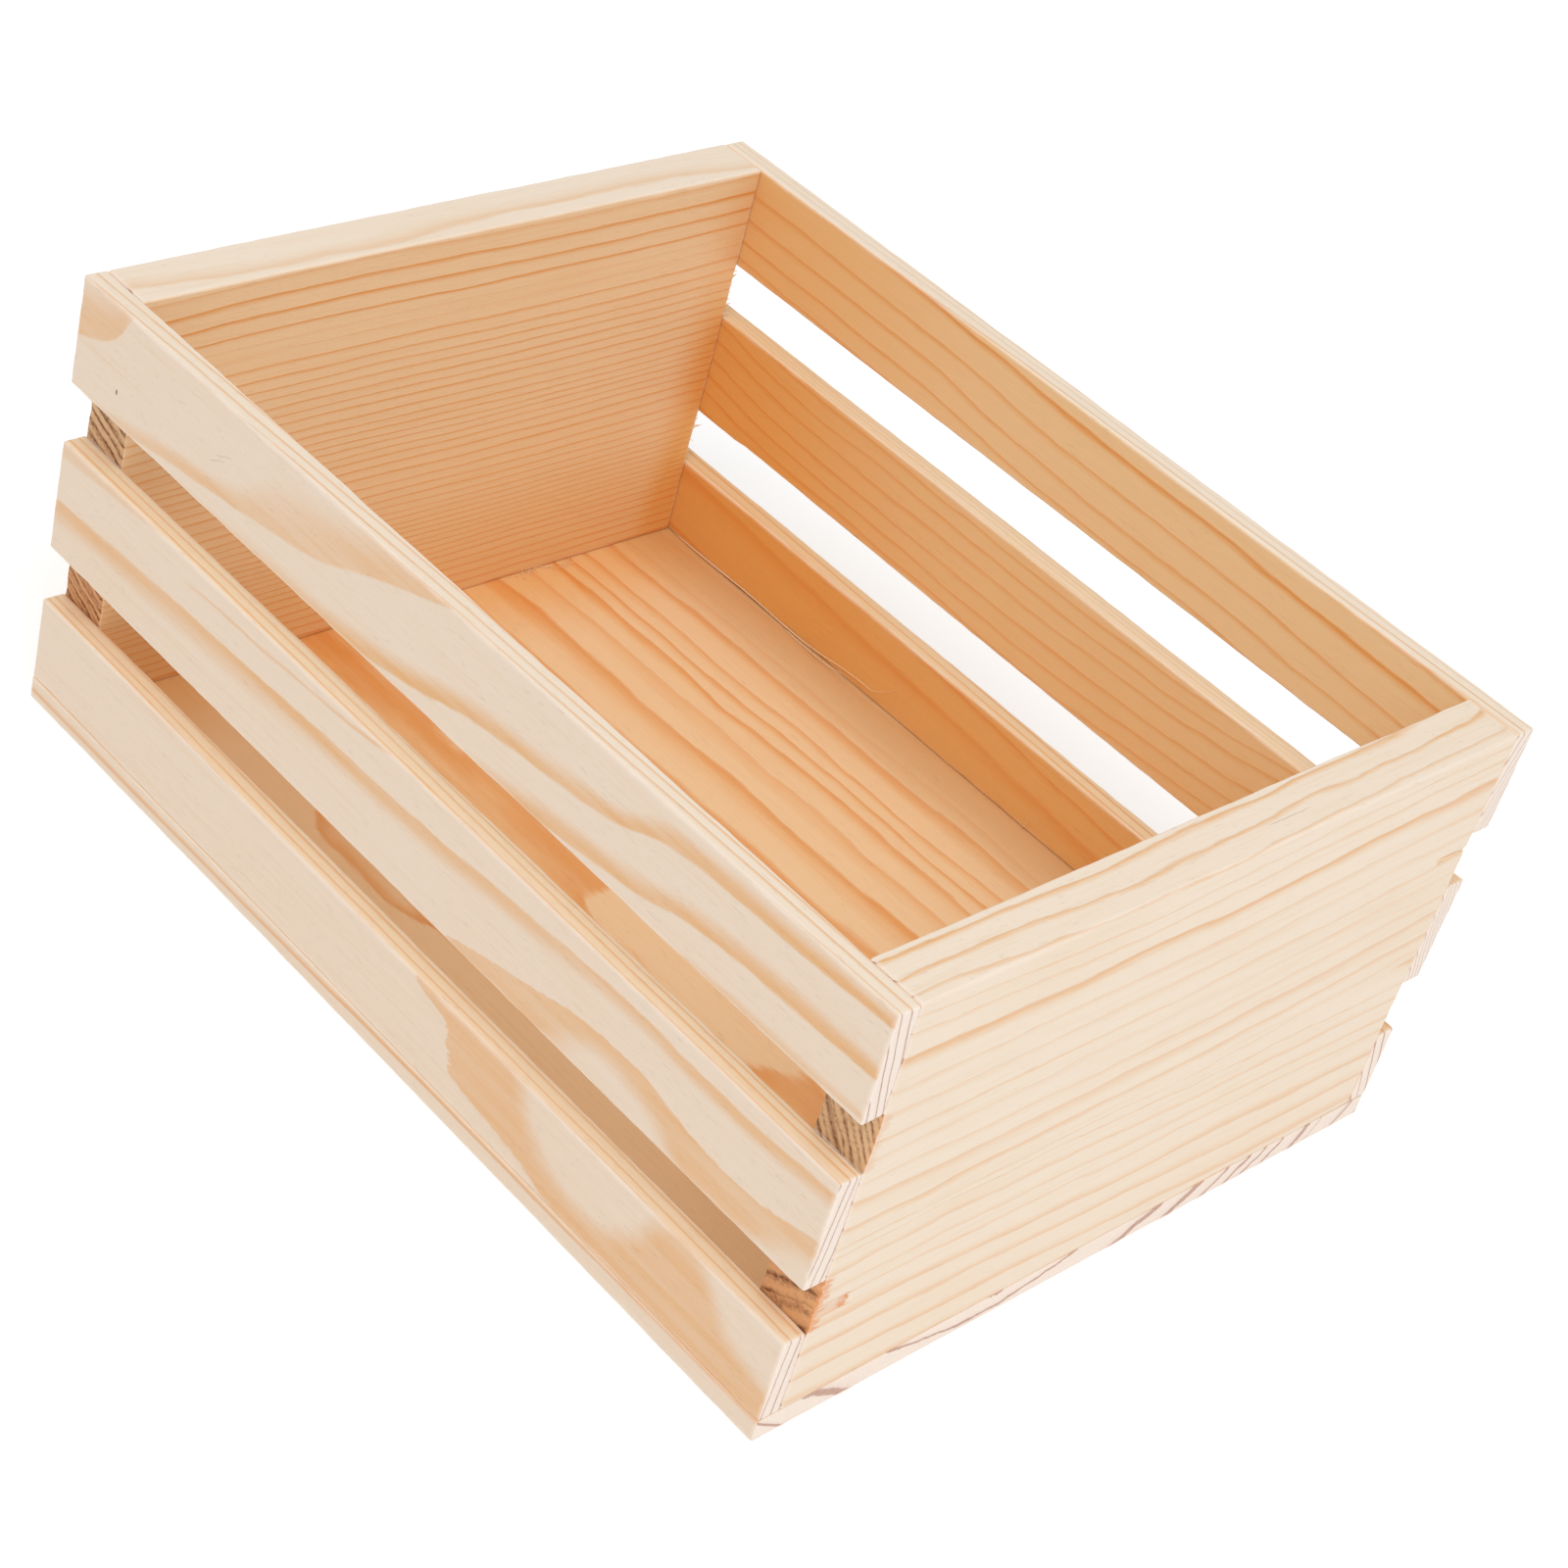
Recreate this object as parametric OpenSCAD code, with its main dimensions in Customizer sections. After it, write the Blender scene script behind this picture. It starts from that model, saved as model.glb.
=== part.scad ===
// Small slatted apple crate in unfinished pine.
//
// Frame: millimetres, +Z up, origin at the middle of the underside.
// +X runs along the slats towards the right end, and -Y is the front side.
//
// Two solid end boards stand on a one-piece bottom board. Three slats a side lap
// the end boards' side edges, run out flush with their outer faces, and are held
// by headless pins. More pins hold the bottom board to the frame from below.

/* [Crate] */
// Overall length, along the slats
crate_length = 250; // [200:1:320]
// Overall width, across the slats
crate_width = 186; // [140:1:240]
// Overall height
crate_height = 110; // [108:1:140]

/* [Boards] */
// Thickness of the two end boards
end_board_t = 13.5; // [10:0.5:18]
// Thickness of the side slats
slat_t = 5.7; // [4:0.1:7]
// Thickness of the bottom board
bottom_board_t = 5.7; // [4:0.1:7]
// Radius that eases every long arris
arris_r = 0.5; // [0.2:0.1:1.5]

/* [Slats] */
// Height of the top slat on each side
top_slat_h = 26.4; // [20:0.1:28]
// Height of the middle slat on each side
middle_slat_h = 27.8; // [20:0.1:28]
// Clear gap between two slats
slat_gap = 14.5; // [10:0.1:15]
// How much more of the gap below the front middle slat its low slat takes up
front_low_slat_extra = 0.5; // [0:0.1:1]
// How much the low slat on the back side falls short of its share
back_low_slat_short = 0.6; // [0:0.1:1]

/* [Pins] */
// Diameter of the headless pins
pin_d = 1; // [0.6:0.1:1.4]
// Length of the pins
pin_length = 18; // [14:1:18]
// How far a pin is set below the face it is driven through
pin_set_depth = 0.9; // [0.5:0.1:1.5]
// Where the two pins at a slat's end stand, as a share of its height from its middle
pin_spread = 0.27; // [0.15:0.01:0.32]
// Pins through the bottom board into each end board
pins_per_end = 3; // [2:1:4]
// Pins through the bottom board into each low slat
pins_per_low_slat = 4; // [2:1:5]

/* [Hidden] */

// Sides and ends, as the sign of Y and X
FRONT = -1;
BACK = 1;
LEFT = -1;
RIGHT = 1;

// Rows of slats, counted from the rim down
TOP = 0;
MIDDLE = 1;
LOW = 2;

arris_steps = 48;
pin_steps = 32;
pin_tip_h = pin_d;

end_board_h = crate_height - bottom_board_t;
end_board_w = crate_width - 2 * slat_t;
end_board_x = crate_length / 2 - end_board_t / 2;
slat_y = crate_width / 2 - slat_t / 2;

middle_slat_top = crate_height - top_slat_h - slat_gap;
low_slat_share = middle_slat_top - middle_slat_h - slat_gap;

// Top of the low slat on one side
function low_slat_top(side) =
    low_slat_share + (side == FRONT ? front_low_slat_extra : -back_low_slat_short);

// Height of a slat, and how high its lower edge lies
function slat_h(side, row) =
    row == TOP ? top_slat_h :
    row == MIDDLE ? middle_slat_h :
    low_slat_top(side) - bottom_board_t;
function slat_z(side, row) =
    row == TOP ? crate_height - top_slat_h :
    row == MIDDLE ? middle_slat_top - middle_slat_h :
    bottom_board_t;

// Heights of the two pins at a slat's end
function slat_pin_heights(side, row) =
    [for (s = [-1, 1]) slat_z(side, row) + slat_h(side, row) * (0.5 + s * pin_spread)];

// Places spread evenly along a line of the given length, centred on zero
function spread(count, length) =
    [for (i = [0:count - 1]) (i - (count - 1) / 2) * length / (count - 1)];

// Rows of pins driven up through the bottom board
end_pin_row = spread(pins_per_end, end_board_w - 4 * end_board_t);
low_slat_pin_row = spread(pins_per_low_slat, crate_length - 8 * end_board_t);

// Rectangle with its corners eased
module eased_rectangle(w, h) {
    square([w - 2 * arris_r, h], center = true);
    square([w, h - 2 * arris_r], center = true);
    for (sx = [-1, 1], sy = [-1, 1])
        translate([sx * (w / 2 - arris_r), sy * (h / 2 - arris_r)])
            circle(r = arris_r, $fn = arris_steps);
}

// Board whose grain runs along X, given its thickness along Y and height along Z
module board_along_x(length, y_size, z_size) {
    rotate([90, 0, 90])
        linear_extrude(height = length, center = true)
            eased_rectangle(y_size, z_size);
}

// Board whose grain runs along Y, given its thickness along X and height along Z
module board_along_y(length, x_size, z_size) {
    rotate([90, 0, 0])
        linear_extrude(height = length, center = true)
            eased_rectangle(x_size, z_size);
}

// Pin from its tail at the origin to its point, along +Z
module pin() {
    cylinder(h = pin_length - pin_tip_h, d = pin_d, $fn = pin_steps);
    translate([0, 0, pin_length - pin_tip_h])
        cylinder(h = pin_tip_h, d1 = pin_d, d2 = pin_d / 4, $fn = pin_steps);
}

// The straight hole that a pin of this size is driven into, along +Z
module pin_hole() {
    cylinder(h = pin_length, d = pin_d, $fn = pin_steps);
}

// Puts its children where the pins at one end of a slat go, pointing into the crate
module at_slat_pins(side, row, end) {
    for (z = slat_pin_heights(side, row))
        translate([end * end_board_x, side * (crate_width / 2 - pin_set_depth), z])
            rotate([side * 90, 0, 0])
                children();
}

// Puts its children where the bottom board's pins into one end board go
module at_end_pins(end) {
    for (y = end_pin_row)
        translate([end * end_board_x, y, pin_set_depth])
            children();
}

// Puts its children where the bottom board's pins into one low slat go
module at_low_slat_pins(side) {
    for (x = low_slat_pin_row)
        translate([x, side * slat_y, pin_set_depth])
            children();
}

// One side slat, drilled for its own pins
module slat(side, row) {
    color(side == FRONT ? "#E4D2B8" : "#DDA569")
        difference() {
            translate([0, side * slat_y, slat_z(side, row) + slat_h(side, row) / 2])
                board_along_x(crate_length, slat_t, slat_h(side, row));
            for (end = [LEFT, RIGHT])
                at_slat_pins(side, row, end)
                    pin_hole();
            if (row == LOW)
                at_low_slat_pins(side)
                    pin_hole();
        }
}

// One end board, drilled along both side edges and from below
module end_board(end) {
    color("#ECD9BA")
        difference() {
            translate([end * end_board_x, 0, bottom_board_t + end_board_h / 2])
                board_along_y(end_board_w, end_board_t, end_board_h);
            for (side = [FRONT, BACK], row = [TOP, MIDDLE, LOW])
                at_slat_pins(side, row, end)
                    pin_hole();
            at_end_pins(end)
                pin_hole();
        }
}

// The bottom board, whose pin holes stay open underneath
module bottom_board() {
    color("#E0B888")
        difference() {
            translate([0, 0, bottom_board_t / 2])
                board_along_x(crate_length, crate_width, bottom_board_t);
            translate([0, 0, -pin_set_depth]) {
                for (end = [LEFT, RIGHT])
                    at_end_pins(end)
                        pin_hole();
                for (side = [FRONT, BACK])
                    at_low_slat_pins(side)
                        pin_hole();
            }
        }
}

// The pair of pins at one end of a slat
module slat_pins(side, row, end) {
    color("#9A9C9F")
        at_slat_pins(side, row, end)
            pin();
}

// The row of pins from the bottom board into one end board
module bottom_board_end_pins(end) {
    color("#9A9C9F")
        at_end_pins(end)
            pin();
}

// The row of pins from the bottom board into one low slat
module bottom_board_side_pins(side) {
    color("#9A9C9F")
        at_low_slat_pins(side)
            pin();
}

end_board(LEFT);  // left_end_board
end_board(RIGHT);  // right_end_board
bottom_board();
slat(FRONT, TOP);  // front_top_slat
slat(FRONT, MIDDLE);  // front_middle_slat
slat(FRONT, LOW);  // front_low_slat
slat(BACK, TOP);  // back_top_slat
slat(BACK, MIDDLE);  // back_middle_slat
slat(BACK, LOW);  // back_low_slat
slat_pins(FRONT, TOP, LEFT);  // front_top_slat_left_pins
slat_pins(FRONT, TOP, RIGHT);  // front_top_slat_right_pins
slat_pins(FRONT, MIDDLE, LEFT);  // front_middle_slat_left_pins
slat_pins(FRONT, MIDDLE, RIGHT);  // front_middle_slat_right_pins
slat_pins(FRONT, LOW, LEFT);  // front_low_slat_left_pins
slat_pins(FRONT, LOW, RIGHT);  // front_low_slat_right_pins
slat_pins(BACK, TOP, LEFT);  // back_top_slat_left_pins
slat_pins(BACK, TOP, RIGHT);  // back_top_slat_right_pins
slat_pins(BACK, MIDDLE, LEFT);  // back_middle_slat_left_pins
slat_pins(BACK, MIDDLE, RIGHT);  // back_middle_slat_right_pins
slat_pins(BACK, LOW, LEFT);  // back_low_slat_left_pins
slat_pins(BACK, LOW, RIGHT);  // back_low_slat_right_pins
bottom_board_end_pins(LEFT);  // bottom_board_left_pins
bottom_board_end_pins(RIGHT);  // bottom_board_right_pins
bottom_board_side_pins(FRONT);  // bottom_board_front_pins
bottom_board_side_pins(BACK);  // bottom_board_back_pins
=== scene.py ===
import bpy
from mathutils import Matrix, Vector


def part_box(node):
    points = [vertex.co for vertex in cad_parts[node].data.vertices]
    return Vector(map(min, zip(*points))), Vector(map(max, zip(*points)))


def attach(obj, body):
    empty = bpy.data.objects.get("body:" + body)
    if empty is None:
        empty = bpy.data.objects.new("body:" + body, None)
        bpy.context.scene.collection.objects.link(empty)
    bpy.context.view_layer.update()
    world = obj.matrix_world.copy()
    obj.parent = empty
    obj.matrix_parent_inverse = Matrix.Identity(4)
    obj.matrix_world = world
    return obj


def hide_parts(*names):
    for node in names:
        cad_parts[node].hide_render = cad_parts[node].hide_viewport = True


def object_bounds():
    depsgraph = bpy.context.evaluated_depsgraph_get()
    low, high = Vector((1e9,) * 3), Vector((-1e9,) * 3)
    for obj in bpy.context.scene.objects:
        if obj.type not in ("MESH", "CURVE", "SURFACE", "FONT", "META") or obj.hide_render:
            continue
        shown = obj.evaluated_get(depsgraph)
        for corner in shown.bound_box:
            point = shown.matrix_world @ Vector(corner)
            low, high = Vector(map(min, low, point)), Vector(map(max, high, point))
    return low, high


bl_info = {
    "name": "Slatted Apple Crate",
    "version": (1, 0, 0),
    "blender": (4, 5, 0),
    "location": "3D View > Sidebar > Crate",
    "description": "Builds a small crate of unfinished pine round its packed frame",
    "category": "Add Mesh",
}

import math
import random

import bmesh
import bpy
from bpy.props import FloatProperty, FloatVectorProperty, PointerProperty
from mathutils import Matrix, Quaternion, Vector, noise

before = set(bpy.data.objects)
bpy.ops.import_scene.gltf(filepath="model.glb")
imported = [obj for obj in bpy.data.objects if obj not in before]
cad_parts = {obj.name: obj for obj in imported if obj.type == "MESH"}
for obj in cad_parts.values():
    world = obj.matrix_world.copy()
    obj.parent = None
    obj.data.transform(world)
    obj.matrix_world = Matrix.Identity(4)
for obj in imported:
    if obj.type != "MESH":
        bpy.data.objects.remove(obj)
cad_low, cad_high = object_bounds()

MM = 0.001
BODY = "root"

# Axes, and the side a board lies on as the sign of its place there
X, Y, Z = 0, 1, 2
LOW, HIGH = -1, 1


def in_mm(point):
    """A place of the frame, in millimetres."""
    return Vector(point) / MM


CRATE_LOW, CRATE_HIGH = in_mm(cad_low), in_mm(cad_high)
LEFT_INSIDE = in_mm(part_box("left_end_board")[1]).x
FRONT_INSIDE = in_mm(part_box("front_top_slat")[1]).y
BACK_INSIDE = in_mm(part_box("back_top_slat")[0]).y
FLOOR_INSIDE = in_mm(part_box("bottom_board")[1]).z


def paint(red, green, blue):
    """A screen colour, in the linear light that shaders work in."""
    shares = [c / 255 for c in (red, green, blue)]
    return tuple(s / 12.92 if s <= 0.04045 else ((s + 0.055) / 1.055) ** 2.4 for s in shares)


# --- settings


def colour(name, description, *value):
    return FloatVectorProperty(
        name=name, description=description, default=paint(*value), subtype="COLOR", min=0, max=1
    )


def length(name, description, value, top):
    return FloatProperty(
        name=name, description=description, default=value, min=0, max=top, unit="LENGTH", precision=5
    )


def share(name, description, value, top=1.0):
    return FloatProperty(name=name, description=description, default=value, min=0, max=top)


class CrateShapeSettings(bpy.types.PropertyGroup):
    """Sizes of the boards' finer shape"""

    arris: length("Arris", "How far the long arrises are eased", 0.0006, 0.002)
    arris_wander: length("Arris wander", "How much the easing varies along an arris", 0.0004, 0.001)
    ripple: length("Ripple", "How far a planed face strays from flat", 0.00006, 0.0003)
    tear: length("Torn end grain", "How rough the sawn ends are in the gaps", 0.00045, 0.001)
    step: length("Mesh step", "Distance between a board's mesh lines", 0.002, 0.01)
    fibre: length("Fibre", "Thickness of a loose wood fibre", 0.00022, 0.001)


class CrateFinishSettings(bpy.types.PropertyGroup):
    """Colours and finish of the wood and the pins, and the tints of painted light and shade"""

    early: colour("Early wood", "Pale wood between two growth lines", 240, 225, 205)
    late: colour("Late wood", "Tan wood that builds up to a growth line", 233, 182, 122)
    dense: colour("Growth line", "The darkest wood, at the line itself", 220, 147, 80)
    end_early: colour("End grain", "Pale wood where the fibres are cut across", 240, 226, 214)
    end_late: colour("End grain line", "Growth lines cut across", 178, 126, 104)
    # Painted bounce light and shade: the inner faces are tinted warmer and darker by this colour.
    inside: colour("Inside tint", "What the inner faces are tinted by", 254, 234, 199)
    # Painted shade: the outer faces are dulled by this colour, the front slats' most.
    painted_outside_shade: colour("Outside tint", "What the front slats' outer faces are tinted by", 236, 231, 229)
    # The torn end grain's tone is partly its own colour and partly painted shade of the gaps it lies in.
    torn: colour("Torn end grain", "Rough sawn end grain in the gaps", 218, 178, 134)
    torn_line: colour("Torn end grain line", "Growth lines in the torn end grain", 128, 76, 44)
    resin: colour("Resin", "Resin-rich wood round a break", 222, 146, 86)
    fleck: colour("Fleck", "Dark flecks and hairline cracks", 96, 66, 50)
    # Painted shade: this warm, darker tint stands for the shade in the back corner, low down inside and
    # along the bottom board's left and back edges.
    painted_corner_shade: colour("Corner tint", "What the sheltered back corner is tinted by", 248, 214, 160)
    # Painted shade: this colour darkens the bottom board along its back edge, beside the back slats.
    back_strip_shade: colour("Back strip shade", "What lies in the corner along the back of the bottom board", 186, 150, 108)
    fibre: colour("Loose fibre", "Fibres and splinters that stand off the wood", 240, 214, 178)
    steel: colour("Pins", "The pins' bare steel", 168, 170, 172)
    roughness: share("Roughness", "How matt the planed faces are", 0.62)
    relief: length("Relief", "How far the growth lines stand proud", 0.00009, 0.0005)


class CrateStageSettings(bpy.types.PropertyGroup):
    """Floor, light and camera"""

    floor: colour("Floor", "Colour of the floor", 246, 246, 246)
    floor_size: length("Floor size", "Length of the floor's sides", 12.0, 40.0)
    sky: share("Sky", "Strength of the even light from all sides", 0.75, 4)
    key: share("Key light", "Power of the large light in watts", 27.0, 400)
    lens: FloatProperty(name="Lens", description="Focal length", default=76.91, unit="CAMERA")


# --- shader maths


def maths(operation):
    """A method that adds one Math node."""

    def method(self, *others):
        terms = dict(enumerate((self, *others)))
        return self.shader.node("ShaderNodeMath", {"operation": operation}, terms)

    return method


class Value:
    """A number that varies over a surface. Arithmetic on it adds Math nodes."""

    def __init__(self, shader, socket):
        self.shader = shader
        self.socket = socket

    __add__ = __radd__ = maths("ADD")
    __sub__ = maths("SUBTRACT")
    __mul__ = __rmul__ = maths("MULTIPLY")
    __truediv__ = maths("DIVIDE")
    __pow__ = maths("POWER")
    __abs__ = maths("ABSOLUTE")
    at_least = maths("MAXIMUM")
    at_most = maths("MINIMUM")
    whole = maths("FLOOR")
    root = maths("SQRT")

    def __rsub__(self, other):
        return self.shader.node("ShaderNodeMath", {"operation": "SUBTRACT"}, {0: other, 1: self})

    def __neg__(self):
        return self * -1

    def between(self, low, high):
        return self.at_least(low).at_most(high)

    def fade(self, start, end):
        """0 at start and 1 at end, with a smooth step between."""
        return self.shader.node(
            "ShaderNodeMapRange",
            {"interpolation_type": "SMOOTHSTEP"},
            {"Value": self, "From Min": start, "From Max": end, "To Min": 0.0, "To Max": 1.0},
        )


def set_up(made, settings):
    """Gives a new node its settings, before its sockets are filled."""
    for name, value in settings.items():
        if name != "points":
            setattr(made, name, value)
            continue
        line = made.mapping.curves[0]
        made.mapping.use_clip = False
        made.mapping.extend = "EXTRAPOLATED"
        while len(line.points) < len(value):
            line.points.new(0.5, 0.5)
        for point, place in zip(line.points, value):
            point.location = place
            point.handle_type = "AUTO_CLAMPED" if settings["points"].smooth else "VECTOR"
        made.mapping.update()


class Points(list):
    """Points of a curve, and whether it runs smoothly through them."""

    smooth = True


class Shader:
    """A new material, the places on the object in millimetres, and its nodes."""

    def __init__(self, name):
        self.material = bpy.data.materials.new(name)
        self.material.use_nodes = True
        self.tree = self.material.node_tree
        self.tree.nodes.clear()
        place = self.node("ShaderNodeTexCoord", output="Object")
        self.place = self.vector("SCALE", place, scale=1 / MM)
        self.x, self.y, self.z = (
            self.node("ShaderNodeSeparateXYZ", {}, {0: self.place}, output=i) for i in range(3)
        )
        self.normal = self.node("ShaderNodeNewGeometry", output="Normal")

    def node(self, kind, settings=None, sockets=None, output=0):
        """Adds a node: its settings first, then the values or links of its sockets."""
        made = self.tree.nodes.new(kind)
        set_up(made, settings or {})
        for name, value in (sockets or {}).items():
            if isinstance(value, Value):
                self.tree.links.new(value.socket, made.inputs[name])
            else:
                made.inputs[name].default_value = value
        return Value(self, made.outputs[output]) if len(made.outputs) else made

    def vector(self, operation, *terms, scale=None, output=0):
        sockets = dict(enumerate(terms))
        if scale is not None:
            sockets["Scale"] = scale
        return self.node("ShaderNodeVectorMath", {"operation": operation}, sockets, output)

    def mix(self, share, under, over, how="MIX"):
        """Lays one colour over another."""
        if not isinstance(under, Value):
            under = (*under, 1)
        if not isinstance(over, Value):
            over = (*over, 1)
        settings = {"data_type": "RGBA", "blend_type": how}
        return self.node("ShaderNodeMix", settings, {0: share, 6: under, 7: over}, output=2)

    def tint(self, share, under, colour):
        """Tints one colour by another."""
        return self.mix(1.0, under, self.mix(share, (1, 1, 1), colour), "MULTIPLY")

    def curve(self, value, points, smooth=True):
        """Follows a line through points, and goes on straight past both ends."""
        xs = [p[0] for p in points]
        ys = [p[1] for p in points]
        low, span = min(ys), max(max(ys) - min(ys), 1e-6)
        line = Points(((x - xs[0]) / (xs[-1] - xs[0]), (y - low) / span) for x, y in points)
        line.smooth = smooth
        along = (value - xs[0]) / (xs[-1] - xs[0])
        return self.node("ShaderNodeFloatCurve", {"points": line}, {"Value": along}) * span + low

    def noise(self, sizes, detail=2.0, seed=0.0):
        """Noise from about -0.5 to 0.5, with features of these sizes in millimetres."""
        scale = tuple(1 / size for size in sizes)
        where = self.vector("MULTIPLY_ADD", self.place, scale, (seed, seed * 1.7, -seed))
        sockets = {"Vector": where, "Scale": 1.0, "Detail": detail, "Roughness": 0.55}
        return self.node("ShaderNodeTexNoise", {}, sockets) - 0.5

    def facing(self, axis):
        """1 where a face looks along the axis either way, 0 where it lies along it."""
        direction = tuple(float(i == axis) for i in range(3))
        return abs(self.vector("DOT_PRODUCT", self.normal, direction, output="Value"))

    def surface(self, base, rough, height=None, relief=0.0, **sockets):
        """Ends the material in a Principled shader."""
        filled = {"Base Color": base, "Roughness": rough, **sockets}
        if height is not None:
            filled["Normal"] = self.node(
                "ShaderNodeBump", {}, {"Strength": 1.0, "Distance": relief, "Height": height}
            )
        shader = self.node("ShaderNodeBsdfPrincipled", {}, filled)
        self.node("ShaderNodeOutputMaterial", {}, {"Surface": shader})
        return self.material


# --- wood


def gap_zones(side):
    """The heights of the two gaps between the slats on one side."""
    rows = [in_mm(corner).z for row in ("low", "middle", "top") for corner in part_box(f"{side}_{row}_slat")]
    return (rows[1], rows[2]), (rows[3], rows[4])


# The gaps on each side, and the heights where an end board's sawn edge is bare on either
GAPS = {LOW: gap_zones("front"), HIGH: gap_zones("back")}
BARE = [(min(a[0], b[0]), max(a[1], b[1])) for a, b in zip(GAPS[LOW], GAPS[HIGH])]

# The end boards' dark, resinous wood begins between these heights, going down
HEARTWOOD = (50, 42)

# Heights of the right end board's chip, its smaller nick, and its splinter's bed
CHIP_Z, NICK_Z, BED_Z = 32, 39, 79.6

# How far apart the streaks in torn wood lie
STREAKS_APART = 2.9

# How steeply the rings cross each end board's sawn edges, by height
NEAR_SLANT = [(5, -0.45), (41, -0.45), (50, 0), (69, 1.3), (84, 1.3), (97, 0), (110, -0.85)]
FAR_SLANT = [(5, 0.5), (60, 0.4), (110, 0.35)]


class Cut:
    """How a board lies in its log, and what its faces show."""

    def __init__(
        self, node, along, rings, figure=None, inside=None, painted_corner_shade=None, marks=None, painted_inside_share=1.0, seed=0
    ):
        self.node = node
        self.along = along
        self.rings = rings
        self.figure = figure
        self.inside = inside
        # Painted shade in the board's corners.
        self.painted_corner_shade = painted_corner_shade
        self.marks = marks
        # Share of painted bounce light and shade on the board's inner faces.
        self.painted_inside_share = painted_inside_share
        self.seed = seed
        self.low, self.high = (in_mm(corner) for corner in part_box(node))

    def sizes(self, long, wide):
        """Noise sizes, drawn out along the grain."""
        return tuple(long if axis == self.along else wide for axis in range(3))


def growth(s, place, lines, pith=None, strength=1.0, breadth=0.35):
    """Late wood: it builds up slowly to each growth line, away from the pith, and stops there."""
    lines = sorted(lines)
    if pith is None:
        pith = lines[0] - 1
    below = [(line, -i - 1) for i, line in enumerate(x for x in reversed(lines) if x < pith)]
    above = [(line, i + 1) for i, line in enumerate(x for x in lines if x > pith)]
    points = [(line, abs(i)) for line, i in (*reversed(below), (pith, 0), *above)]
    index = s.curve(place, points, smooth=False)
    share = index - index.whole()
    if isinstance(strength, list):
        strength = s.curve(place, strength).between(0.05, 1.2)
    if isinstance(breadth, list):
        breadth = s.curve(place, breadth).between(0.12, 0.95)
    rise = share.fade(1 - breadth, 0.91)
    stop = 1 - share.fade(0.9, 1.0)
    line = share.fade(1 - breadth * 0.5, 0.93) * stop
    return rise * stop * strength, line * strength


def edge_distance(s, cut):
    """How far a place on a board's surface is from its nearest arris."""
    gaps = []
    for value, low, high in zip((s.x, s.y, s.z), cut.low, cut.high):
        gaps.append((high - low) / 2 - abs(value - (high + low) / 2))
    most = gaps[0].at_least(gaps[1]).at_least(gaps[2])
    return gaps[0] + gaps[1] + gaps[2] - most


def inner_face(s, cut):
    """1 on the face that looks into the crate."""
    axis, side = cut.inside
    value = (s.x, s.y, s.z)[axis]
    plane = cut.high[axis] if side == HIGH else cut.low[axis]
    return (side * (value - plane)).fade(-0.45, -0.1)


def in_zones(s, zones, out, reach):
    """1 at heights inside zones, and 0 from a little way out of them."""
    return sum(
        s.z.fade(low - out, low + reach) * s.z.fade(high + out, high - reach) for low, high in zones
    )


def long_grain(s, cut, finish, late, line, seed):
    """Pale early wood, tan late wood, a dense line, and fine fibres along them."""
    fibres = s.noise(cut.sizes(24, 0.34), 3, seed + 7)
    bundles = s.noise(cut.sizes(60, 2.6), 2, seed + 9)
    clouds = s.noise(cut.sizes(70, 22), 2, seed + 11)
    patchy = s.noise(cut.sizes(85, 5), 2, seed + 13)
    depth = (late * (1 + bundles * 0.9 + patchy * 0.9)).between(0, 1)
    wood = s.mix(depth, finish.early, finish.late)
    wood = s.mix((line * 0.38).between(0, 1), wood, finish.dense)
    wood = s.mix((fibres * 0.9 + bundles * 0.4).fade(-0.06, 0.4) * 0.3, wood, finish.late)
    wood = s.mix((clouds * 1.1).fade(0.0, 0.5) * 0.16, wood, finish.late)
    canals = s.noise(cut.sizes(3.2, 0.16), 1, seed + 15).fade(0.2, 0.3)
    return s.mix(canals * 0.16, wood, finish.dense), fibres, canals


def painted_shading(s, cut, finish, wood, front):
    """Painted light and shade: dulls the outside a little with painted shade, the front most, and tints
    inner faces and edges in a gap warmer and darker with painted bounce light and shade, more so in the
    corners and low down where a board has corner shade.
    """
    inner = inner_face(s, cut)
    # Painted bounce light and shade also falls on the slats' top and bottom edges in a gap, at half
    # strength.
    if cut.along == X:
        inner = inner.at_least(s.facing(Z).fade(0.6, 0.9) * s.z.fade(90, 80) * s.z.fade(8, 12) * 0.5)
    # Painted shade: the outer faces are dulled, the front ones most.
    wood = s.tint((1 - inner) * (front * 0.6 + 0.4), wood, finish.painted_outside_shade)
    # Painted bounce light and shade: the inner faces are tinted warmer and darker.
    wood = s.tint(inner * cut.painted_inside_share, wood, finish.inside)
    # Painted shade: deeper in the sheltered corners and towards the bottom of the inner faces.
    if cut.painted_corner_shade:
        wood = s.tint(inner * (cut.painted_corner_shade(s) + s.z.fade(75, 12) * 0.3), wood, finish.painted_corner_shade)
    return wood


def end_grain(s, finish, late, line, seed):
    """Pores, and growth lines cut across."""
    pores = s.noise((0.32, 0.32, 0.32), 2, seed + 19)
    cut_line = (line.fade(0.02, 0.28) * 0.75 + late * 0.25) * (0.8 + pores * 0.8)
    ends = s.mix(cut_line.between(0, 1), finish.end_early, finish.end_late)
    return s.mix(pores.fade(0.0, 0.4) * 0.22, ends, finish.end_late), pores, cut_line


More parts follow.
